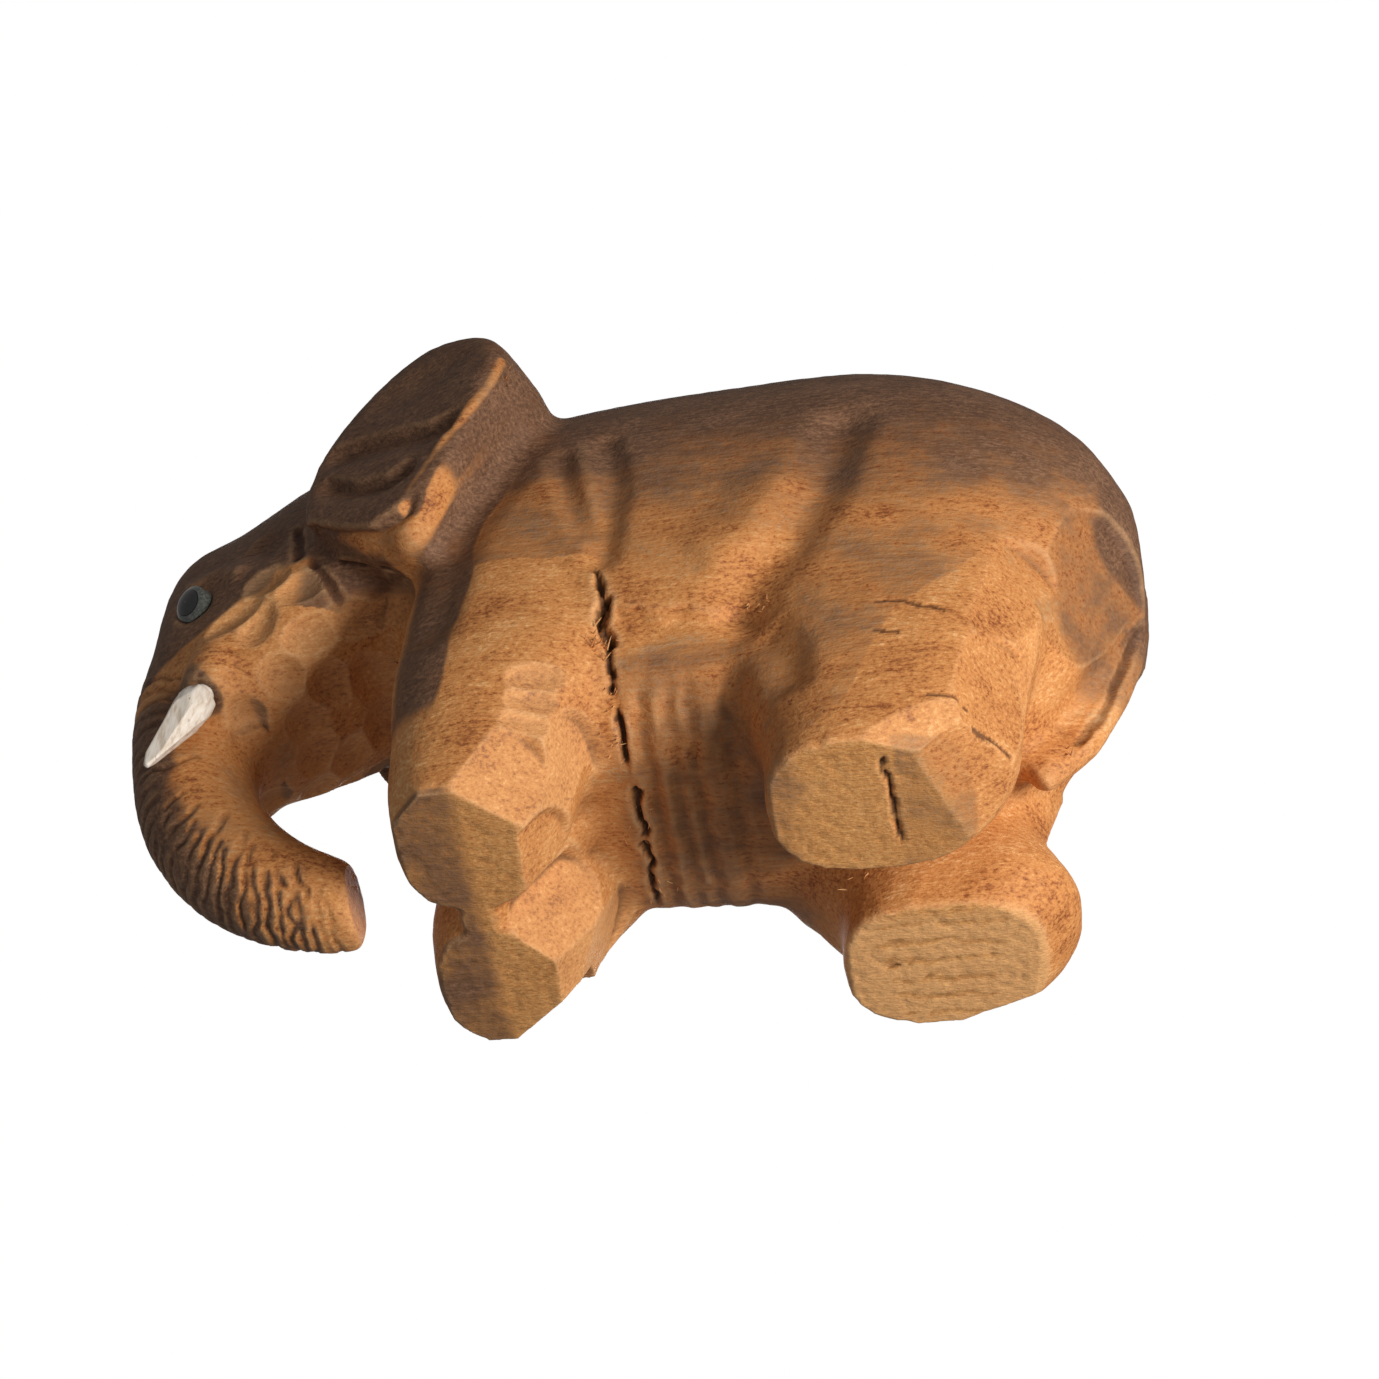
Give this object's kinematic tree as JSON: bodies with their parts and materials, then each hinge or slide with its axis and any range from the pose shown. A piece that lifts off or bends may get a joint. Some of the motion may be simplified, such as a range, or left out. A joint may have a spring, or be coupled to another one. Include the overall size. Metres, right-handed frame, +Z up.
{
  "type": "carved elephant figurine",
  "caption": "Standing elephant carved from one wood block, trunk curled back under the chin, with set-in white tusks and glass eyes; rests on flat-cut soles.",
  "frame": {"origin": "on the ground under the middle of the figure's bounding box", "axes": "+Z up, +X towards the tail along the longest side, +Y towards the elephant's right side, so it faces -X"},
  "size_m": [0.2058, 0.104, 0.1324],
  "materials": {
    "stained_wood": "knife-cut light wood, stained dark brown on the back, head and ears and fading to bare orange wood below",
    "white_painted_wood": "whittled peg under thin white paint",
    "grey_glass": "gloss",
    "black_glass": "gloss",
    "wire": "plain drawn wire"
  },
  "bodies": {
    "root": {"carved_body": "stained_wood", "tusk_left": "white_painted_wood", "tusk_right": "white_painted_wood", "eye_glass_left": "grey_glass", "eye_glass_right": "grey_glass", "eye_pupil_left": "black_glass", "eye_pupil_right": "black_glass", "eye_wire_left": "wire", "eye_wire_right": "wire"}
  },
  "joints": []
}
